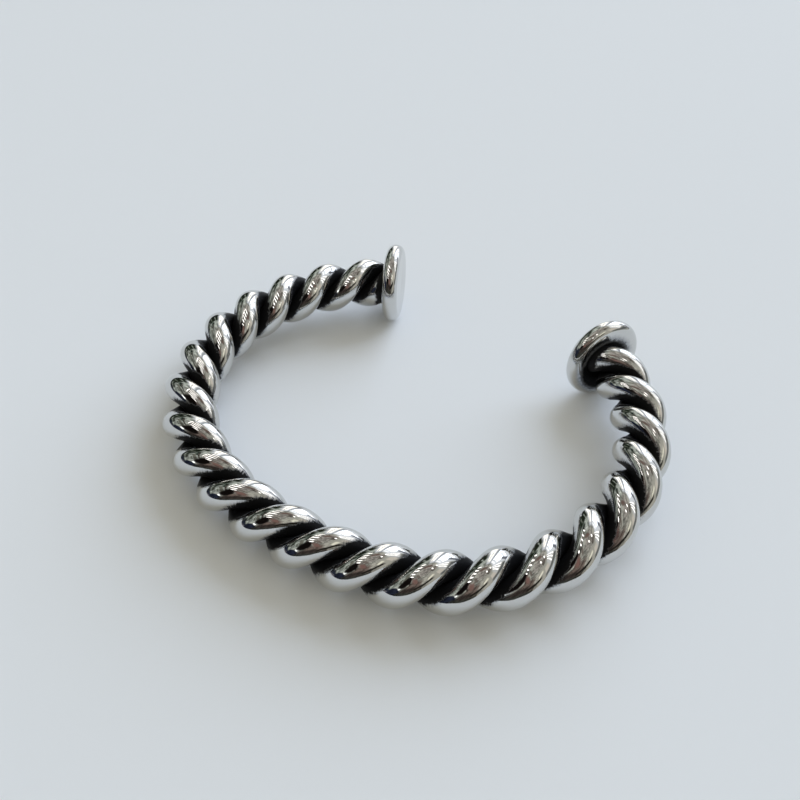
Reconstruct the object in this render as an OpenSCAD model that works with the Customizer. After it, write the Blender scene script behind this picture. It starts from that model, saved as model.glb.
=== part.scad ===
// Twisted wire bangle: two round wires twisted into one rope, bent to an open oval,
// with a flat round disc across each end. It lies on its side, with the opening towards +Y.
// Millimetres, +Z up. The origin is the middle of the footprint, on the surface below.

/* [Wires] */
// Diameter of each round wire
wire_d = 4; // [3:0.1:5]
// Clearance kept between the two wires where they lie closest
wire_gap = 0.1; // [0.05:0.01:0.3]
// Length along the bangle of one full turn of the twist
twist_pitch = 13.75; // [12.5:0.05:20]
// Angle of the first wire where it leaves the left disc, 0 outwards and 90 up
twist_start = 150; // [0:1:359]
// Angle that the twist loses along one slack stretch of the rope
slack_turn = 63; // [0:1:90]
// Length along the rope from the left disc to the middle of the slack stretch
slack_at = 116; // [0:1:160]
// Length of the slack stretch
slack_l = 44; // [20:1:80]

/* [Oval] */
// Long way across the oval, measured between the middles of the rope
oval_l = 66.8; // [56:0.1:80]
// Short way across the oval, measured between the middles of the rope
oval_w = 56.6; // [48:0.1:66]
// How far the hand bending pushes three sides of the oval outwards
bulge = 0.4; // [0:0.1:1.2]
// Direction of the first of those three sides, from the long axis
bulge_turn = 61; // [0:1:119]
// How far the hand bending pushes four sides of the oval outwards
square_off = 0.2; // [0:0.05:0.5]
// Direction of the first of those four sides, from the long axis
square_turn = 23; // [0:1:89]
// Direction of the middle of the opening, from the long axis
opening_turn = 76; // [60:1:120]
// Angle that the opening between the two cut ends takes
opening_angle = 81.5; // [60:0.5:110]

/* [End discs] */
// Diameter of each end disc
disc_d = 13; // [10:0.1:16]
// Thickness of each end disc
disc_t = 2.6; // [1.2:0.1:4]
// Share of the half thickness that the rim is rounded by along both of its edges
rim_round = 0.96; // [0.2:0.02:0.98]
// Angle by which the left disc's outer face turns towards the right disc
left_turn = 11; // [-5:0.5:15]
// Angle by which the right disc's outer face turns towards the left disc
right_turn = 1.5; // [-5:0.5:15]
// Angle by which the left disc's outer face leans towards the surface below
left_lean = -2.5; // [-10:0.5:15]
// Angle by which the right disc's outer face leans towards the surface below
right_lean = 7.5; // [-10:0.5:15]
// Seam kept between the cut ends of the wires and the disc
seam = 0.1; // [0.05:0.01:0.3]

/* [Mesh] */
// Sides of each wire
sides = 16; // [10:1:16]
// Rings along each wire in one turn of the twist
rings_per_turn = 18; // [12:1:22]

/* [Hidden] */
disc_fn = 96;
wire_r = wire_d / 2;
disc_r = disc_d / 2;
rim_r = rim_round * disc_t / 2;

// Small helpers
function unit(v) = v / norm(v);
function blend(a, b, t) = a * (1 - t) + b * t;
function turned(p, a) = [p.x * cos(a) - p.y * sin(a), p.x * sin(a) + p.y * cos(a), p.z];
function tipped(p, a) = [p.x, p.y * cos(a) - p.z * sin(a), p.y * sin(a) + p.z * cos(a)];
function rolled(p, a) = [p.x * cos(a) + p.z * sin(a), p.y, p.z * cos(a) - p.x * sin(a)];
function per_radian(degrees) = degrees * PI / 180;

// The oval along the middle of the rope, run anticlockwise from the left end to the right end
function oval_r(a) = (oval_l + oval_w) / 4 + (oval_l - oval_w) / 4 * cos(2 * a)
    + bulge * cos(3 * (a - bulge_turn)) + square_off * cos(4 * (a - square_turn));
function oval_slope(a) = (oval_w - oval_l) / 2 * sin(2 * a)
    - 3 * bulge * sin(3 * (a - bulge_turn)) - 4 * square_off * sin(4 * (a - square_turn));
function oval_at(a) = oval_r(a) * [cos(a), sin(a), 0];
function oval_dir(a) = unit(oval_slope(a) * [cos(a), sin(a), 0] + oval_r(a) * [-sin(a), cos(a), 0]);

// Length along the oval against direction, past both ends by the overrun
overrun = 15;
table_step = 0.5;
left_a = opening_turn + opening_angle / 2;
right_a = opening_turn - opening_angle / 2 + 360;
table_from = left_a - overrun;
table_n = ceil((right_a - left_a + 2 * overrun) / table_step);
function table_a(i) = table_from + i * table_step;
run_table = [for (i = 0, run = 0; i <= table_n;
    i = i + 1, run = run + norm(oval_at(table_a(i)) - oval_at(table_a(i - 1)))) [table_a(i), run]];
left_run = lookup(left_a, run_table);
rope_l = lookup(right_a, run_table) - left_run;
a_table = [for (row = run_table) [row[1] - left_run, row[0]]];

// Distance of each wire's middle from the middle of the rope, at which the wires just clear
// each other. The twist is tightest on the inside of the oval's narrow ends.
tight_bend = oval_w * oval_w / oval_l / 2;
wire_step = wire_d + wire_gap;
tight_pitch = twist_pitch * (1 - wire_step / 2 / tight_bend);
lead = tight_pitch / 2 / PI;
function step_at(d) = lead * sqrt(2 * per_radian(d) / tan(d / 2) + pow(per_radian(d), 2));
function slip(lo, hi, n) = n == 0 ? (lo + hi) / 2
    : step_at((lo + hi) / 2) > wire_step ? slip(lo, (lo + hi) / 2, n - 1)
    : slip((lo + hi) / 2, hi, n - 1);
slip_a = slip(0.01, 170, 30);
helix_r = wire_step <= 2 * lead ? wire_step / 2 : lead * sqrt(per_radian(slip_a) / sin(slip_a));

// Angle that the twist has turned by at length s along the rope, with the slack stretch eased in
function ease(t) = let (u = min(1, max(0, t))) u * u * (3 - 2 * u);
function twist(s) = 360 * s / twist_pitch - slack_turn * ease((s - slack_at) / slack_l + 0.5);

// Middle of wire k at length s along the rope, its radial direction there, and its skin
function rope_mid(s) = oval_at(lookup(s, a_table));
function rope_dir(s) = oval_dir(lookup(s, a_table));
function rope_out(s) = cross(rope_dir(s), [0, 0, 1]);
function wire_out(k, s) = let (a = twist_start + 180 * k + twist(s))
    cos(a) * rope_out(s) + sin(a) * [0, 0, 1];
function wire_mid(k, s) = rope_mid(s) + helix_r * wire_out(k, s);
nudge = 0.01;
function wire_dir(k, s) = unit(wire_mid(k, s + nudge) - wire_mid(k, s - nudge));

// The lines along a wire's skin keep straight along the wire, so they turn back by this share
// of the twist against the radial direction, which rolls round the wire with the twist
roll_share = twist_pitch / norm([twist_pitch, 2 * PI * helix_r]);
function skin(k, s, a) =
    let (out = wire_out(k, s), side = cross(wire_dir(k, s), out), turn = a + roll_share * twist(s))
    wire_mid(k, s) + wire_r * (cos(turn) * out + sin(turn) * side);

// Outward axis of the cut at each end, turned and leaning with the disc
function leaned(dir, a) = cos(a) * dir - sin(a) * [0, 0, 1];
left_axis = leaned(turned(-rope_dir(0), -left_turn), left_lean);
right_axis = leaned(turned(rope_dir(rope_l), right_turn), right_lean);

// Length at which one line along the skin meets the cut through a point with the given axis
function cut_s(k, a, s, at, axis, n = 8) = n == 0 ? s
    : let (here = skin(k, s, a), pace = (skin(k, s + nudge, a) - here) / nudge)
    cut_s(k, a, s + (at - here) * axis / (pace * axis), at, axis, n - 1);

// The discs' middles
disc_out = seam + disc_t / 2;
left_disc_mid = rope_mid(0) + disc_out * left_axis;
right_disc_mid = rope_mid(rope_l) + disc_out * right_axis;

// How far the bangle, as bent, reaches in a direction: its wires' samples and its two discs
sample_n = 900;
samples = [for (k = [0, 1], i = [0 : sample_n]) let (s = rope_l * i / sample_n)
    [wire_mid(k, s), wire_dir(k, s)]];
function disc_reach(mid, axis, d) = let (along = axis * d)
    mid * d + (disc_r - rim_r) * sqrt(max(0, 1 - along * along)) + (disc_t / 2 - rim_r) * abs(along) + rim_r;
function discs_reach(d) = max(disc_reach(left_disc_mid, left_axis, d),
    disc_reach(right_disc_mid, right_axis, d));
function wires_reach(d) = max([for (p = samples) p[0] * d + wire_r * sqrt(max(0, 1 - pow(p[1] * d, 2)))]);
function reach(d) = max(discs_reach(d), wires_reach(d));

// The pose at rest: turned until the discs lie along X, rolled until they reach down equally far,
// then tipped until both discs and the front of the rope meet one surface
disc_chord = right_disc_mid - left_disc_mid;
turn_a = -atan2(disc_chord.y, disc_chord.x);
function roll_a(tip) = let (down = turned(tipped([0, 0, -1], -tip), -turn_a))
    atan2(disc_reach(left_disc_mid, left_axis, down) - disc_reach(right_disc_mid, right_axis, down),
    norm(disc_chord));
function back(d, tip) = turned(rolled(tipped(d, -tip), -roll_a(tip)), -turn_a);
function rest_tip(lo, hi, n) = let (mid = (lo + hi) / 2, down = back([0, 0, -1], mid))
    n == 0 ? mid
    : discs_reach(down) > wires_reach(down) ? rest_tip(mid, hi, n - 1)
    : rest_tip(lo, mid, n - 1);
steepest_tip = 20;
tip_a = rest_tip(-steepest_tip, steepest_tip, 14);
function rest_reach(d) = reach(back(d, tip_a));
rest_shift = [(rest_reach([-1, 0, 0]) - rest_reach([1, 0, 0])) / 2,
    (rest_reach([0, -1, 0]) - rest_reach([0, 1, 0])) / 2, rest_reach([0, 0, -1])];

module at_rest() {
    translate(rest_shift) rotate([tip_a, 0, 0]) rotate([0, roll_a(tip_a), 0]) rotate([0, 0, turn_a])
    children();
}

// One wire: each line along its skin runs from the left disc's face to the right disc's face
module wire(k) {
    rings = ceil(rope_l / twist_pitch * rings_per_turn);
    starts = [for (j = [0 : sides - 1]) cut_s(k, 360 * j / sides, 0, rope_mid(0), left_axis)];
    ends = [for (j = [0 : sides - 1]) cut_s(k, 360 * j / sides, rope_l, rope_mid(rope_l), right_axis)];
    points = [for (i = [0 : rings], j = [0 : sides - 1])
        skin(k, blend(starts[j], ends[j], i / rings), 360 * j / sides)];
    function at(i, j) = i * sides + j % sides;
    walls = [for (i = [0 : rings - 1], j = [0 : sides - 1], half = [0, 1])
        half == 0 ? [at(i, j), at(i, j + 1), at(i + 1, j)] : [at(i, j + 1), at(i + 1, j + 1), at(i + 1, j)]];
    first_cap = [for (j = [sides - 1 : -1 : 0]) at(0, j)];
    last_cap = [for (j = [0 : sides - 1]) at(rings, j)];
    polyhedron(points, concat(walls, [first_cap, last_cap]), convexity = 10);
}

// Half section of a disc, from its axis to its rounded rim
module disc_section() {
    square([disc_r - rim_r, disc_t]);
    translate([0, rim_r]) square([disc_r, disc_t - 2 * rim_r]);
    translate([disc_r - rim_r, rim_r]) circle(r = rim_r, $fn = disc_fn);
    translate([disc_r - rim_r, disc_t - rim_r]) circle(r = rim_r, $fn = disc_fn);
}

// A disc with its middle at a point and its faces square to the axis
module disc_at(mid, axis) {
    translate(mid)
    rotate([0, acos(axis.z), atan2(axis.y, axis.x)])
    translate([0, 0, -disc_t / 2])
    rotate_extrude($fn = disc_fn) disc_section();
}

module wire_a() {
    color("silver") at_rest() wire(0);
}

module wire_b() {
    color("silver") at_rest() wire(1);
}

module end_disc_left() {
    color("silver") at_rest() disc_at(left_disc_mid, left_axis);
}

module end_disc_right() {
    color("silver") at_rest() disc_at(right_disc_mid, right_axis);
}

wire_a();
wire_b();
end_disc_left();
end_disc_right();
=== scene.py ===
# Twisted wire bangle: polished wires and end discs over the solids, the room they mirror, floor and camera.
import math

import bpy
import numpy as np
from mathutils import Color, Matrix, Vector
from mathutils.kdtree import KDTree


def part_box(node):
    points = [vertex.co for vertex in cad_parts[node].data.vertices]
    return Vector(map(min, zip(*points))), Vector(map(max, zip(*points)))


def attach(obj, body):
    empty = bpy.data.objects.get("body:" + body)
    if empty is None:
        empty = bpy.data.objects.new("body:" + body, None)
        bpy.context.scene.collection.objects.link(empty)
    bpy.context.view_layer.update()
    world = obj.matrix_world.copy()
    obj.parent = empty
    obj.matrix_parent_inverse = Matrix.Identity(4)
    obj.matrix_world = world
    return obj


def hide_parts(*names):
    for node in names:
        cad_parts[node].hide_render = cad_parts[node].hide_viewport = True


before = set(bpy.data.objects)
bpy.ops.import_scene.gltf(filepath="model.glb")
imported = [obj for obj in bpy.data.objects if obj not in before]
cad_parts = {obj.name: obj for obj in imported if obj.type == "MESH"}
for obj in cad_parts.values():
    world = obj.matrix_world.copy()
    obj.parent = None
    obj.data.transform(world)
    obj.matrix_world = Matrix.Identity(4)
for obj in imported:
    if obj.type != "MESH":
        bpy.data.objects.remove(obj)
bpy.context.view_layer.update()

# Sizes of the part, in millimetres and degrees, the same as in its source
WIRE_R = 2.0
WIRE_GAP = 0.1
TWIST_PITCH = 13.75
TWIST_START = 150.0
SLACK_TURN, SLACK_AT, SLACK_L = 63.0, 116.0, 44.0
OVAL_L, OVAL_W = 66.8, 56.6
BULGE, BULGE_TURN = 0.4, 61.0
SQUARE_OFF, SQUARE_TURN = 0.2, 23.0
OPENING_TURN, OPENING_ANGLE = 76.0, 81.5
DISC_R, DISC_T = 6.5, 2.6
RIM_ROUND = 0.96
RIM_R = RIM_ROUND * DISC_T / 2
LEFT_TURN, LEFT_LEAN = 11.0, -2.5
RIGHT_TURN, RIGHT_LEAN = 1.5, 7.5
SEAM = 0.1

# Fineness of the polished pieces
WIRE_SIDES, WIRE_RINGS = 56, 1080
DISC_SIDES, RIM_STEPS, FACE_RINGS = 160, 24, 20
FACE_FROM = 0.25

# Unevenness of hand work: the length and height of each set of waves, in millimetres
WIRE_WAVES = ((9.0, 0.02), (4.0, 0.01), (2.0, 0.004))
DISC_WAVES = ((8.0, 0.03), (3.5, 0.012))
WAVES_IN_SET = 6

# How far a wire runs into its disc, and how far the skins of the wires swell where they nearly touch:
# in full up to the first gap, and not at all from the second
END_BITE = 0.04
SWELL, SWELL_FULL, SWELL_NONE = 0.08, 0.1, 0.5

# Length of wire in each millimetre of rope, as the patina's streaks are laid out along it
WIRE_RUN = 1.37

MM = 0.001
UP = np.array([0.0, 0.0, 1.0])
NUDGE = 0.01


def unit(v):
    return v / np.linalg.norm(v, axis=-1, keepdims=True)


def cosd(a):
    return np.cos(np.radians(a))


def sind(a):
    return np.sin(np.radians(a))


# The oval along the middle of the rope
def oval_at(a):
    r = (OVAL_L + OVAL_W) / 4 + (OVAL_L - OVAL_W) / 4 * cosd(2 * a)
    r = r + BULGE * cosd(3 * (a - BULGE_TURN)) + SQUARE_OFF * cosd(4 * (a - SQUARE_TURN))
    return np.stack([r * cosd(a), r * sind(a), 0 * a], -1)


# Length along the oval against direction, past both ends by the overrun
OVERRUN, TABLE_STEP = 15.0, 0.5
LEFT_A = OPENING_TURN + OPENING_ANGLE / 2
RIGHT_A = OPENING_TURN - OPENING_ANGLE / 2 + 360
TABLE_A = np.arange(LEFT_A - OVERRUN, RIGHT_A + OVERRUN + TABLE_STEP, TABLE_STEP)
TABLE_RUN = np.concatenate([[0], np.cumsum(np.linalg.norm(np.diff(oval_at(TABLE_A), axis=0), axis=1))])
LEFT_RUN = np.interp(LEFT_A, TABLE_A, TABLE_RUN)
ROPE_L = np.interp(RIGHT_A, TABLE_A, TABLE_RUN) - LEFT_RUN


def oval_angle(s):
    return np.interp(s + LEFT_RUN, TABLE_RUN, TABLE_A)


def rope_mid(s):
    return oval_at(oval_angle(s))


def rope_dir(s):
    a = oval_angle(s)
    return unit(oval_at(a + NUDGE) - oval_at(a - NUDGE))


# Angle that the twist has turned by at length s along the rope, with the slack stretch eased in
def twist(s):
    u = np.clip((s - SLACK_AT) / SLACK_L + 0.5, 0, 1)
    return 360 * s / TWIST_PITCH - SLACK_TURN * u * u * (3 - 2 * u)


# The value from which on a test holds, found by halving the stretch between two others
def first_where(test, low, high, halvings):
    for _ in range(halvings):
        middle = (low + high) / 2
        if test(middle):
            high = middle
        else:
            low = middle
    return (low + high) / 2


# Distance of a wire's middle from the rope's, at which the wires just clear each other where the twist
# is tightest, on the inside of the oval's narrow ends. Their closest points lie off opposite by the slip.
def helix_radius():
    step = 2 * WIRE_R + WIRE_GAP
    tight_bend = OVAL_W ** 2 / OVAL_L / 2
    lead = TWIST_PITCH * (1 - step / 2 / tight_bend) / (2 * math.pi)
    if step <= 2 * lead:
        return step / 2

    def clears(slip):
        return lead * math.sqrt(2 * slip / math.tan(slip / 2) + slip ** 2) > step

    slip = first_where(clears, math.radians(0.01), math.radians(170), 30)
    return lead * math.sqrt(slip / math.sin(slip))


HELIX_R = helix_radius()
ROLL_SHARE = TWIST_PITCH / math.hypot(TWIST_PITCH, 2 * math.pi * HELIX_R)


def wire_out(k, s):
    a = (TWIST_START + 180 * k + twist(s))[..., None]
    return cosd(a) * np.cross(rope_dir(s), UP) + sind(a) * UP


def wire_mid(k, s):
    return rope_mid(s) + HELIX_R * wire_out(k, s)


def wire_dir(k, s):
    return unit(wire_mid(k, s + NUDGE) - wire_mid(k, s - NUDGE))


# A point of wire k's skin at length s and angle a round the wire, with its outward direction
def wire_skin(k, s, a):
    out = wire_out(k, s)
    side = np.cross(wire_dir(k, s), out)
    turn = (a + ROLL_SHARE * twist(s))[..., None]
    normal = cosd(turn) * out + sind(turn) * side
    return wire_mid(k, s) + WIRE_R * normal, normal


# Length at which each line along the skin meets the plane through a point with the given axis
def cut_s(k, a, s, at, axis, rounds=8):
    for _ in range(rounds):
        here = wire_skin(k, s, a)[0]
        pace = (wire_skin(k, s + NUDGE, a)[0] - here) / NUDGE
        s = s + ((at - here) @ axis) / (pace @ axis)
    return s


# Outward axis of a disc, turned and leaning from the direction of the rope's end
def disc_axis(direction, turn, lean):
    x, y, _ = direction
    turned = np.array([x * cosd(turn) - y * sind(turn), x * sind(turn) + y * cosd(turn), 0.0])
    return cosd(lean) * turned - sind(lean) * UP


LEFT_END, RIGHT_END = rope_mid(0.0), rope_mid(ROPE_L)
LEFT_AXIS = disc_axis(-rope_dir(0.0), -LEFT_TURN, LEFT_LEAN)
RIGHT_AXIS = disc_axis(rope_dir(ROPE_L), RIGHT_TURN, RIGHT_LEAN)
ENDS = ((LEFT_END, LEFT_AXIS), (RIGHT_END, RIGHT_AXIS))
DISCS = tuple((end + (SEAM + DISC_T / 2) * axis, axis) for end, axis in ENDS)

# Samples along both wires, for how far the bangle reaches in a direction
SAMPLES = 900
SAMPLE_S = np.linspace(0, ROPE_L, SAMPLES + 1)
SAMPLE_MIDS = np.concatenate([wire_mid(k, SAMPLE_S) for k in (0, 1)])
SAMPLE_DIRS = np.concatenate([wire_dir(k, SAMPLE_S) for k in (0, 1)])


def disc_reach(middle, axis, d):
    along = axis @ d
    flat = (DISC_R - RIM_R) * math.sqrt(max(0.0, 1 - along ** 2)) + (DISC_T / 2 - RIM_R) * abs(along)
    return middle @ d + flat + RIM_R


def discs_reach(d):
    return max(disc_reach(middle, axis, d) for middle, axis in DISCS)


def wires_reach(d):
    return np.max(SAMPLE_MIDS @ d + WIRE_R * np.sqrt(np.maximum(0, 1 - (SAMPLE_DIRS @ d) ** 2)))


def rotation(axis, degrees):
    return np.array(Matrix.Rotation(math.radians(degrees), 3, axis))


# Turned until the discs lie along X, tipped, and rolled until they reach down equally far
def tipped(tip):
    chord = DISCS[1][0] - DISCS[0][0]
    turn = rotation("Z", -math.degrees(math.atan2(chord[1], chord[0])))
    down = (rotation("X", tip) @ turn).T @ -UP
    drop = disc_reach(*DISCS[0], down) - disc_reach(*DISCS[1], down)
    roll = math.degrees(math.atan2(drop, np.linalg.norm(chord)))
    return rotation("X", tip) @ rotation("Y", roll) @ turn


# Whether the rope reaches down at least as far as the discs do
def rope_is_down(tip):
    down = tipped(tip).T @ -UP
    return wires_reach(down) >= discs_reach(down)


# The pose at rest: tipped until both discs and the front of the rope meet one surface
STEEPEST_TIP = 20.0
REST = tipped(first_where(rope_is_down, -STEEPEST_TIP, STEEPEST_TIP, 14))


def rest_reach(*d):
    back = REST.T @ np.array(d)
    return max(discs_reach(back), wires_reach(back))


# The middle of the footprint goes to the origin, on the surface below
REST_SHIFT = np.array([(rest_reach(-1, 0, 0) - rest_reach(1, 0, 0)) / 2,
                       (rest_reach(0, -1, 0) - rest_reach(0, 1, 0)) / 2, rest_reach(0, 0, -1)])


# Smooth unevenness of hand work: a few waves in random directions through space
def waves(points, seed, sets):
    rng = np.random.default_rng(seed)
    total = np.zeros(len(points))
    for length, height in sets:
        for _ in range(WAVES_IN_SET):
            way = unit(rng.normal(size=3)) * 2 * math.pi / length
            total += height / WAVES_IN_SET ** 0.5 * np.sin(points @ way + rng.uniform(0, 2 * math.pi))
    return total


# Four-sided faces between rings of points that follow each other
def ring_faces(rings, sides):
    def at(i, j):
        return i * sides + j % sides

    return [(at(i, j), at(i, j + 1), at(i + 1, j + 1), at(i + 1, j))
            for i in range(rings - 1) for j in range(sides)]


def link_object(name, data):
    obj = bpy.data.objects.new(name, data)
    bpy.context.scene.collection.objects.link(obj)
    return obj


# A piece in the pose at rest, with its values for the patina at each point
def make_piece(name, points, faces, attributes):
    mesh = bpy.data.meshes.new(name)
    mesh.from_pydata(((points @ REST.T + REST_SHIFT) * MM).tolist(), [], faces)
    for key, values in attributes.items():
        kind, field = ("FLOAT", "value") if values.ndim == 1 else ("FLOAT_VECTOR", "vector")
        layer = mesh.attributes.new(key, kind, "POINT")
        layer.data.foreach_set(field, values.astype(np.float32).ravel())
    mesh.update()
    mesh.shade_smooth()
    return link_object(name, mesh)


# Distance of each point from wire k's skin, by close samples along its middle
def gap_to_wire(k, points):
    count, past = 5000, 2.0
    tree = KDTree(count)
    for i, p in enumerate(wire_mid(k, np.linspace(-past, ROPE_L + past, count))):
        tree.insert(p, i)
    tree.balance()
    return np.array([tree.find(p)[2] for p in points]) - WIRE_R


# Distance of each point from the nearer disc's inner face, or far off where the rope's end is not near
def gap_to_discs(points, s):
    near_end, far_off = 12.0, 9.0
    gaps = np.minimum(*(np.abs((points - end - SEAM * axis) @ axis) for end, axis in ENDS))
    gaps[np.abs(s - ROPE_L / 2) < ROPE_L / 2 - near_end] = far_off
    return gaps


# One polished wire: rings of points from one disc's face to the other's
def polished_wire(name, k, seed):
    a = 360 * np.arange(WIRE_SIDES) / WIRE_SIDES
    (left_cut, left), (right_cut, right) = ((end + (SEAM + END_BITE) * axis, axis) for end, axis in ENDS)
    first = cut_s(k, a, np.zeros(WIRE_SIDES), left_cut, left)
    last = cut_s(k, a, np.full(WIRE_SIDES, ROPE_L), right_cut, right)
    t = np.linspace(0, 1, WIRE_RINGS)[:, None]
    s = first * (1 - t) + last * t
    a = np.broadcast_to(a, s.shape)
    points, normals = (p.reshape(-1, 3) for p in wire_skin(k, s, a))
    points = points + normals * waves(points, seed, WIRE_WAVES)[:, None]

    # The solder line: the skins swell together where they nearly touch, so that no light comes through
    gap = gap_to_wire(1 - k, points)
    swell = SWELL * np.clip((SWELL_NONE - gap) / (SWELL_NONE - SWELL_FULL), 0, 1)
    points = points + normals * swell[:, None]
    ends = gap_to_discs(points, s.ravel())
    grain = np.stack([WIRE_R * cosd(a), WIRE_R * sind(a), s * WIRE_RUN], -1).reshape(-1, 3)

    faces = ring_faces(WIRE_RINGS, WIRE_SIDES)
    faces.append(tuple(range(WIRE_SIDES - 1, -1, -1)))
    faces.append(tuple((WIRE_RINGS - 1) * WIRE_SIDES + j for j in range(WIRE_SIDES)))
    return make_piece(name, points, faces, {"gap": gap, "ends": ends, "grain": grain})


# One end disc, turned from a half section with a rounded rim. Its black is real patina round the wires,
# but the black's middle lies off the disc's own middle, down and to one side, by the shade shift: painted
# shade low on the inner face.
def polished_disc(name, middle, axis, seed, shade_shift):
    half, straight = DISC_T / 2, DISC_R - RIM_R
    section = [(r, -half) for r in np.linspace(FACE_FROM, straight, FACE_RINGS)]
    for b in np.linspace(-90, 90, RIM_STEPS + 1)[1:-1]:
        section.append((straight + RIM_R * cosd(b), np.sign(b) * (half - RIM_R) + RIM_R * sind(b)))
    section += [(r, half) for r in np.linspace(straight, FACE_FROM, FACE_RINGS)]
    radii, heights = np.array(section).T

    turn = 360 * np.arange(DISC_SIDES) / DISC_SIDES
    u = unit(np.cross(axis, UP))
    v = np.cross(axis, u)
    around = cosd(turn)[:, None] * u + sind(turn)[:, None] * v
    points = middle + radii[:, None, None] * around + heights[:, None, None] * axis
    points = np.concatenate([points.reshape(-1, 3), [middle - half * axis, middle + half * axis]])
    arm = points - middle
    along = arm @ axis
    # Distance from the black's middle, moved down by the shade shift so that painted shade darkens the low
    # part of the inner face
    radius = np.linalg.norm(arm - along[:, None] * axis - shade_shift[0] * u - shade_shift[1] * v, axis=1)
    grain = np.stack([arm @ u, arm @ v, along], -1)
    points = points + unit(arm) * waves(points, seed, DISC_WAVES)[:, None]

    rings, n = len(section), DISC_SIDES
    inner_middle, outer_middle, outer_ring = rings * n, rings * n + 1, (rings - 1) * n
    faces = ring_faces(rings, n)
    faces += [(inner_middle, (j + 1) % n, j) for j in range(n)]
    faces += [(outer_middle, outer_ring + j, outer_ring + (j + 1) % n) for j in range(n)]
    return make_piece(name, points, faces, {"radius": radius, "along": along, "grain": grain})


# A node tree that nodes are added to, with links to sockets or plain values
class Nodes:
    FACTOR, COLOUR_A, COLOUR_B, MIXED_COLOUR = 0, 6, 7, 2

    def __init__(self, owner):
        owner.use_nodes = True
        self.tree = owner.node_tree
        self.tree.nodes.clear()

    def add(self, kind, **values):
        node = self.tree.nodes.new(kind)
        for key, value in values.items():
            setattr(node, key, value)
        return node

    def put(self, socket, value):
        if isinstance(value, bpy.types.NodeSocket):
            self.tree.links.new(value, socket)
        else:
            socket.default_value = value

    def math(self, operation, *values):
        node = self.add("ShaderNodeMath", operation=operation)
        for socket, value in zip(node.inputs, values):
            self.put(socket, value)
        return node.outputs[0]

    def ramp(self, value, low, high, start=0.0, end=1.0):
        node = self.add("ShaderNodeMapRange", interpolation_type="SMOOTHSTEP")
        sides = {"Value": value, "From Min": low, "From Max": high, "To Min": start, "To Max": end}
        for key, side in sides.items():
            self.put(node.inputs[key], side)
        return node.outputs[0]

    def mix(self, share, a, b):
        node = self.add("ShaderNodeMix", data_type="RGBA", clamp_factor=True)
        self.put(node.inputs[self.FACTOR], share)
        self.put(node.inputs[self.COLOUR_A], a)
        self.put(node.inputs[self.COLOUR_B], b)
        return node.outputs[self.MIXED_COLOUR]

    def noise(self, vector, scale, detail, rough, stretch=None):
        if stretch is not None:
            mapping = self.add("ShaderNodeMapping")
            self.put(mapping.inputs["Vector"], vector)
            self.put(mapping.inputs["Scale"], stretch)
            vector = mapping.outputs[0]
        node = self.add("ShaderNodeTexNoise")
        for key, value in (("Vector", vector), ("Scale", scale), ("Detail", detail), ("Roughness", rough)):
            self.put(node.inputs[key], value)
        return node.outputs["Fac"]

    # Noise that swings both ways from 0
    def swing(self, vector, scale, detail, rough, stretch=None):
        return self.math("SUBTRACT", self.noise(vector, scale, detail, rough, stretch), 0.5)

    def attribute(self, name, out="Fac"):
        return self.add("ShaderNodeAttribute", attribute_name=name).outputs[out]

    def surface(self, shader, kind="Material"):
        self.put(self.add("ShaderNodeOutput" + kind).inputs["Surface"], shader.outputs[0])


# A screen colour, 0 to 255, as light
def linear(r, g, b, strength=1.0):
    light = Color((r / 255, g / 255, b / 255)).from_srgb_to_scene_linear() * strength
    return (*light, 1.0)


SILVER_DULL = (0.62, 0.62, 0.61, 1)
SILVER_BRIGHT = (0.69, 0.69, 0.68, 1)
SILVER_HAZE = (0.20, 0.21, 0.235, 1)


# Polished silver that goes over to black patina where the mask is 1, with a grey haze at its edge
def silver_material(name, make_mask, black, sheen):
    material = bpy.data.materials.new(name)
    n = Nodes(material)
    grain = n.attribute("grain", "Vector")
    mask, haze = make_mask(n, grain)
    tone = n.noise(grain, 0.35, 3.0, 0.6)
    clean = n.mix(haze, n.mix(tone, SILVER_DULL, SILVER_BRIGHT), SILVER_HAZE)
    shader = n.add("ShaderNodeBsdfPrincipled")
    n.put(shader.inputs["Base Color"], n.mix(mask, clean, (black, black, black * 1.1, 1)))
    n.put(shader.inputs["Metallic"], n.ramp(mask, 0, 1, 1.0, 0.0))
    n.put(shader.inputs["Specular IOR Level"], sheen)
    polish = n.ramp(n.noise(grain, 1.1, 4.0, 0.6), 0.35, 0.7, 0.02, 0.06)
    n.put(shader.inputs["Roughness"], n.math("MAXIMUM", polish, n.ramp(mask, 0, 1, 0.0, 0.4)))
    bump = n.add("ShaderNodeBump")
    n.put(bump.inputs["Strength"], 0.12)
    n.put(bump.inputs["Distance"], 0.02 * MM)
    n.put(bump.inputs["Height"], n.noise(grain, 3.0, 3.0, 0.55, stretch=(1, 1, 0.15)))
    n.put(shader.inputs["Normal"], bump.outputs[0])
    n.surface(shader)
    return material


# Where the black and the haze round it thin out: on the wires by the distance from the other wire,
# on the discs by the distance from the black's middle, which is shifted down for painted shade, in
# millimetres
WIRE_BLACK, WIRE_HAZE = (1.32, 1.58), (1.46, 1.95)
DISC_BLACK, DISC_HAZE = (3.9, 5.1), (4.4, 5.7)
# The black of the wires reaches less far beside a disc than beside the other wire
LESS_AT_DISC = 0.32


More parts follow.
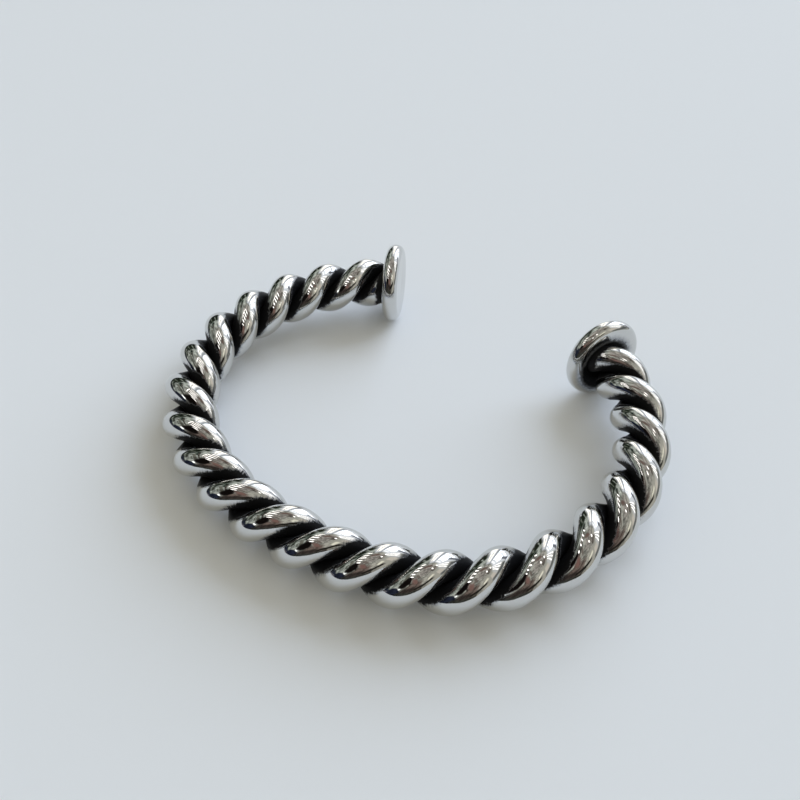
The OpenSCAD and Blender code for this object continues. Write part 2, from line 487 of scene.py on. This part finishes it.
# The wires are black near each other and beside the discs, with an edge of fine streaks
def wire_mask(n, grain):
    comb = n.swing(grain, 5.5, 2.0, 0.7, stretch=(0.14, 0.14, 1))
    tongues = n.swing(grain, 2.4, 3.0, 0.6, stretch=(1, 1, 0.22))
    broad = n.swing(grain, 0.45, 2.0, 0.5)
    near = n.math("MINIMUM", n.attribute("gap"), n.math("ADD", n.attribute("ends"), LESS_AT_DISC))
    for streaks, height in ((comb, 0.8), (tongues, 0.9), (broad, 0.45)):
        near = n.math("MULTIPLY_ADD", streaks, height, near)
    return n.ramp(near, *WIRE_BLACK, 1.0, 0.0), n.ramp(near, *WIRE_HAZE, 0.7, 0.0)


# The discs are black inside, round the wires, and clean on the rim and outside: patina, reaching further
# low on the inner face as painted shade
def disc_mask(n, grain):
    reach = n.math("ADD", n.attribute("radius"), n.swing(grain, 1.8, 4.0, 0.65))
    inner = n.ramp(n.attribute("along"), -0.9, -1.1)
    mask = n.math("MULTIPLY", n.ramp(reach, *DISC_BLACK, 1.0, 0.0), inner)
    haze = n.math("MULTIPLY", n.ramp(reach, *DISC_HAZE, 0.8, 0.0), inner)
    return mask, haze


wire_silver = silver_material("wire_silver", wire_mask, 0.009, 0.08)
disc_silver = silver_material("disc_silver", disc_mask, 0.004, 0.02)
pieces = {
    "wire_a": polished_wire("wire_a_polished", 0, 11),
    "wire_b": polished_wire("wire_b_polished", 1, 12),
    # The last values move each disc's black down and aside: painted shade low on its inner face
    "end_disc_left": polished_disc("end_disc_left_polished", *DISCS[0], 13, (0.2, 0.2)),
    "end_disc_right": polished_disc("end_disc_right_polished", *DISCS[1], 14, (-0.45, 0.45)),
}
if set(pieces) != set(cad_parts):
    raise RuntimeError("the pieces and the frame's nodes are not the same")
for node, piece in pieces.items():
    piece.data.materials.append(wire_silver if node.startswith("wire") else disc_silver)
    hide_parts(node)
    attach(piece, "root")

# Every piece fills the box of its solid
BOX_SLACK = 0.4
for node, piece in pieces.items():
    corners = np.array([v.co for v in piece.data.vertices])
    off = np.abs(np.array([corners.min(0), corners.max(0)]) - np.array(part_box(node))).max() / MM
    if off > BOX_SLACK:
        raise RuntimeError(f"{node} is {off:.2f} mm off its solid")


# A plain pale floor, just under the bangle, with its sizes in metres
FLOOR_SIZE = 6.0
FLOOR_DROP = 0.02 * MM


def make_floor():
    bpy.ops.mesh.primitive_plane_add(size=FLOOR_SIZE, location=(0, 0, -FLOOR_DROP))
    floor = bpy.context.object
    floor.name = "floor"
    material = bpy.data.materials.new("floor_pale")
    n = Nodes(material)
    shader = n.add("ShaderNodeBsdfPrincipled")
    n.put(shader.inputs["Base Color"], (0.835, 0.85, 0.865, 1))
    n.put(shader.inputs["Roughness"], 0.9)
    n.put(shader.inputs["Specular IOR Level"], 0.2)
    n.surface(shader)
    floor.data.materials.append(material)


make_floor()

# Camera, at the place found from the photo, with its focal length and the photo's width in pixels
CAMERA_AT = Vector((0.032791, -0.075240, 0.089578))
AHEAD = Vector((-0.29518, 0.64099, -0.70852)).normalized()
RIGHT = Vector((0.88492, 0.46302, 0.05022)).normalized()
ABOVE = RIGHT.cross(AHEAD)
CAMERA_TURN = Matrix((RIGHT, ABOVE, -AHEAD)).transposed().to_4x4()
FOCAL_PX, PHOTO_W = 794.05, 800
SENSOR_W = 36


def make_camera():
    data = bpy.data.cameras.new("camera")
    data.sensor_width = SENSOR_W
    data.lens = FOCAL_PX / PHOTO_W * SENSOR_W
    data.clip_start = 0.005
    data.clip_end = 50
    camera = link_object("camera", data)
    camera.matrix_world = Matrix.Translation(CAMERA_AT) @ CAMERA_TURN
    bpy.context.scene.camera = camera
    bpy.context.scene.view_settings.view_transform = "Standard"


make_camera()

# The world, by direction: the angle round from the right and the height above the floor, in degrees
world = bpy.data.worlds.new("room")
bpy.context.scene.world = world
w = Nodes(world)
direction = w.add("ShaderNodeTexCoord").outputs["Generated"]
parts = w.add("ShaderNodeSeparateXYZ")
w.put(parts.inputs[0], direction)
round_from_x = w.math("MULTIPLY", w.math("ARCTAN2", parts.outputs[1], parts.outputs[0]), 180 / math.pi)
azimuth = w.math("WRAP", round_from_x, 360.0, 0.0)
height = w.math("MULTIPLY", w.math("ARCSINE", parts.outputs[2]), 180 / math.pi)


# A soft-edged patch round a direction, leaning by an angle or bent up into an arch
def patch(az, el, wide, high, turn=0.0, arch=0.0, soft=4.0, soft_up=None):
    across = w.math("SUBTRACT", azimuth, az)
    up = w.math("SUBTRACT", height, el)
    if arch:
        share = w.math("MULTIPLY", across, 2 / wide)
        up = w.math("ADD", up, w.math("MULTIPLY", w.math("MULTIPLY", share, share), arch))
    c, s = math.cos(math.radians(turn)), math.sin(math.radians(turn))
    sideways = w.math("ADD", w.math("MULTIPLY", across, c), w.math("MULTIPLY", up, s))
    upwards = w.math("SUBTRACT", w.math("MULTIPLY", up, c), w.math("MULTIPLY", across, s))
    fades = []
    for way, size, fade in ((sideways, wide, soft), (upwards, high, soft if soft_up is None else soft_up)):
        fades.append(w.ramp(w.math("ABSOLUTE", way), (size - fade) / 2, (size + fade) / 2, 1.0, 0.0))
    return w.math("MULTIPLY", *fades)


# Share of the room's light that the metal is taken to give back, a little under its own colour
MIRRORED = 0.59


# A colour of the room, given about as it looks in the metal
def seen(r, g, b, strength=1.0):
    return linear(r, g, b, strength / MIRRORED)


# The room as the metal mirrors it: each patch lies over those before it
PATCHES = (
    # Walls to the right and to the left, and a pale band high on the left
    (seen(146, 144, 135), dict(az=335, el=26, wide=90, high=66, soft=26)),
    (seen(146, 151, 144), dict(az=170, el=28, wide=96, high=60, soft=18)),
    (seen(176, 180, 172), dict(az=170, el=49, wide=60, high=5, arch=-6, soft=10, soft_up=4)),
    # Dark corner in front
    (seen(92, 81, 75), dict(az=284, el=30, wide=58, high=44, soft=16)),
    (seen(50, 44, 41), dict(az=272, el=17, wide=50, high=26, soft=14)),
    # Dark green clutter on the left, and thin pale lines in it
    (seen(28, 34, 25), dict(az=144, el=8, wide=38, high=42, soft=9)),
    (seen(40, 47, 40), dict(az=167, el=15, wide=13, high=9, turn=-10, soft=4)),
    (seen(140, 146, 138), dict(az=136, el=24, wide=3, high=30, turn=6, soft=3)),
    (seen(104, 110, 100), dict(az=152, el=12, wide=3, high=18, turn=-8, soft=3)),
    (seen(84, 92, 84), dict(az=160, el=36, wide=24, high=14, turn=25, soft=6)),
    (seen(24, 29, 24), dict(az=158, el=37, wide=12, high=9, turn=20, soft=3)),
    (seen(30, 35, 30), dict(az=174, el=42, wide=11, high=7, soft=3)),
    (seen(60, 64, 56), dict(az=180, el=17, wide=19, high=8, turn=15, soft=4)),
    (seen(86, 88, 80), dict(az=198, el=31, wide=20, high=5, soft=3)),
    # Two dark beams high on the left
    (seen(88, 88, 80), dict(az=207, el=41, wide=72, high=9, arch=9, soft=8, soft_up=4)),
    (seen(72, 68, 62), dict(az=210, el=52, wide=106, high=5, arch=11, soft=8, soft_up=2)),
    # Dark and blue things low down on the left, with a small bright window above them
    (seen(36, 39, 36), dict(az=165, el=3, wide=80, high=8, soft=8, soft_up=4)),
    (seen(54, 58, 54), dict(az=188, el=5, wide=30, high=12, soft=7, soft_up=4)),
    (seen(32, 36, 46), dict(az=225, el=3, wide=88, high=13, soft=10, soft_up=4)),
    (seen(28, 32, 44), dict(az=228, el=13, wide=42, high=20, arch=8, soft=7, soft_up=5)),
    (seen(100, 98, 102), dict(az=201, el=1, wide=22, high=3, turn=8, soft=3)),
    (seen(240, 243, 240, 1.4), dict(az=232, el=26, wide=15, high=7, turn=-12, soft=4)),
    # Dark things low down in front and to the right
    (seen(48, 49, 45), dict(az=280, el=6, wide=74, high=11, soft=10, soft_up=5)),
    (seen(54, 50, 45), dict(az=316, el=4, wide=9, high=20, soft=5)),
    (seen(34, 31, 27), dict(az=320, el=21, wide=54, high=12, turn=8, soft=10, soft_up=5)),
    # Pale and grey things and three bright stripes to the right
    (seen(206, 203, 186), dict(az=342, el=38, wide=20, high=10, turn=20, soft=6)),
    (seen(176, 170, 160), dict(az=0, el=30, wide=40, high=24, soft=14)),
    (seen(104, 98, 92), dict(az=12, el=66, wide=70, high=18, soft=14)),
    (seen(84, 86, 86), dict(az=24, el=12, wide=46, high=13, turn=6, soft=8, soft_up=5)),
    (seen(170, 171, 170), dict(az=40, el=40, wide=46, high=30, arch=8, soft=10)),
    (seen(252, 250, 246, 1.5), dict(az=29, el=38, wide=3.5, high=30, turn=-8, soft=3)),
    (seen(252, 250, 248, 1.5), dict(az=38, el=41, wide=3.5, high=34, turn=-8, soft=3)),
    (seen(252, 250, 250, 1.5), dict(az=47, el=43, wide=4, high=36, turn=-8, soft=3)),
    # The windows behind the bangle: wall, lintel, two panes, bar, posts and curtain
    (seen(196, 200, 205), dict(az=86, el=26, wide=74, high=62, soft=9)),
    (seen(245, 247, 250), dict(az=79, el=51, wide=38, high=6, arch=2, soft=4, soft_up=3)),
    (seen(238, 245, 255, 1.8), dict(az=69, el=28, wide=16, high=32, turn=3, soft=2.5)),
    (seen(238, 245, 255, 1.8), dict(az=87.5, el=27, wide=15, high=34, turn=3, soft=2.5)),
    (seen(176, 182, 190), dict(az=78, el=20, wide=40, high=2.6, arch=2, soft=3, soft_up=1.5)),
    (seen(96, 99, 106), dict(az=56, el=12, wide=9, high=36, turn=-32, soft=4)),
    (seen(140, 144, 148), dict(az=99, el=28, wide=6, high=60, turn=4, soft=3)),
    (seen(255, 250, 240, 1.25), dict(az=112, el=22, wide=13, high=52, soft=5)),
    (seen(168, 170, 168), dict(az=113, el=34, wide=3, high=36, turn=-8, soft=2)),
)
room = w.mix(w.ramp(height, -5, 30), seen(138, 140, 135), seen(142, 142, 134))
room = w.mix(w.ramp(height, 55, 80), room, seen(140, 135, 129))
for colour, place in PATCHES:
    room = w.mix(patch(**place), room, colour)

# Clutter of the dim side of the room and of the ceiling: uneven tones and thin dark lines
dim = w.math("MAXIMUM", patch(228, 30, 216, 76, soft=12), w.ramp(height, 52, 62))
blobs = w.ramp(w.noise(direction, 4.2, 3.0, 0.6), 0.38, 0.60, 0.55, 1.25)
from_line = w.math("ABSOLUTE", w.swing(direction, 3.1, 2.0, 0.5, stretch=(1, 1, 1.6)))
clutter = w.math("MULTIPLY", blobs, w.ramp(from_line, 0.006, 0.02, 0.42, 1.0))
clutter = w.math("MULTIPLY_ADD", dim, w.math("SUBTRACT", clutter, 1.0), 1.0)

# The light on the floor, a soft window behind the bangle and a warm fill, and the tone past the floor
FILL_LIGHT = (0.49, 0.478, 0.418, 1)
WINDOW_LIGHT = (3.35, 3.85, 4.65, 1)
BACKDROP = linear(215, 217, 219)
light = w.mix(patch(78, 28, 60, 46, soft=8), FILL_LIGHT, WINDOW_LIGHT)
path = w.add("ShaderNodeLightPath")
plain, mirrored = w.add("ShaderNodeBackground"), w.add("ShaderNodeBackground")
w.put(plain.inputs["Color"], w.mix(path.outputs["Is Camera Ray"], light, BACKDROP))
w.put(mirrored.inputs["Color"], room)
w.put(mirrored.inputs["Strength"], clutter)
both = w.add("ShaderNodeMixShader")
for socket, out in zip(both.inputs, (path.outputs["Is Glossy Ray"], plain.outputs[0], mirrored.outputs[0])):
    w.put(socket, out)
w.surface(both, "World")


# A soft-edged card that only the metal mirrors. The edge is the share of it that fades out.
def card(name, place, wide, high, colour, edge):
    mesh = bpy.data.meshes.new(name)
    mesh.from_pydata([(-1, -1, 0), (1, -1, 0), (1, 1, 0), (-1, 1, 0)], [], [(0, 1, 2, 3)])
    obj = link_object(name, mesh)
    obj.matrix_world = place @ Matrix.Diagonal((wide / 2 * MM, high / 2 * MM, 1, 1))
    material = bpy.data.materials.new(name)
    n = Nodes(material)
    spot = n.add("ShaderNodeTexCoord").outputs["Object"]
    from_middle = n.add("ShaderNodeVectorMath", operation="LENGTH")
    n.put(from_middle.inputs[0], spot)
    ragged = n.math("MULTIPLY_ADD", n.swing(spot, 1.7, 3.0, 0.6), 0.9, from_middle.outputs["Value"])
    glow = n.add("ShaderNodeEmission")
    n.put(glow.inputs["Color"], colour)
    blend = n.add("ShaderNodeMixShader")
    clear = n.add("ShaderNodeBsdfTransparent")
    share = n.ramp(ragged, 1 - edge, 1, 1.0, 0.0)
    for socket, out in zip(blend.inputs, (share, clear.outputs[0], glow.outputs[0])):
        n.put(socket, out)
    n.surface(blend)
    mesh.materials.append(material)
    obj.visible_camera = obj.visible_diffuse = obj.visible_shadow = False


# Places in millimetres: beside the camera, across its view, and level above the bangle
def beside(x, y, back, turn):
    middle = CAMERA_AT + (RIGHT * x + ABOVE * y - AHEAD * back) * MM
    return Matrix.Translation(middle) @ CAMERA_TURN @ Matrix.Rotation(math.radians(turn), 4, "Z")


def overhead(x, y, z, turn):
    return Matrix.Translation(Vector((x, y, z)) * MM) @ Matrix.Rotation(math.radians(turn), 4, "Z")


card("card_dark", overhead(-46, -92, 80, -12), 88, 128, seen(12, 9, 8), 0.35)
card("card_dark_far", beside(-122, 20, 4, -30), 150, 90, seen(24, 22, 20), 0.45)
card("card_brown", overhead(16, -80, 78, -38), 104, 34, seen(104, 80, 74), 0.7)
card("card_dim", overhead(2, -4, 82, 14), 66, 22, seen(90, 74, 68), 0.7)
card("card_low", overhead(4, -50, 82, -24), 74, 14, seen(92, 84, 78), 0.8)
card("card_between", overhead(-32, -14, 72, -12), 60, 64, seen(104, 101, 96), 0.6)

# Ceiling lights: the place of each one's middle, and its sizes along and across
STRIP_Z, STRIP_TURN, STRIP_EDGE = 68, -12, 0.25
STRIPS = ((-31, 8, 36, 4.4), (-33, -5, 40, 4.4), (-31, -18, 40, 4.4), (-33, -31, 32, 4.4),
          (-26, -44, 26, 4.2), (-52, -10, 4.4, 40), (39, 1, 14, 5), (35, -15, 13, 5))
for i, (x, y, wide, high) in enumerate(STRIPS):
    place = overhead(x, y, STRIP_Z, STRIP_TURN)
    card(f"strip_{i + 1}", place, wide, high, seen(255, 251, 246, 1.9), STRIP_EDGE)
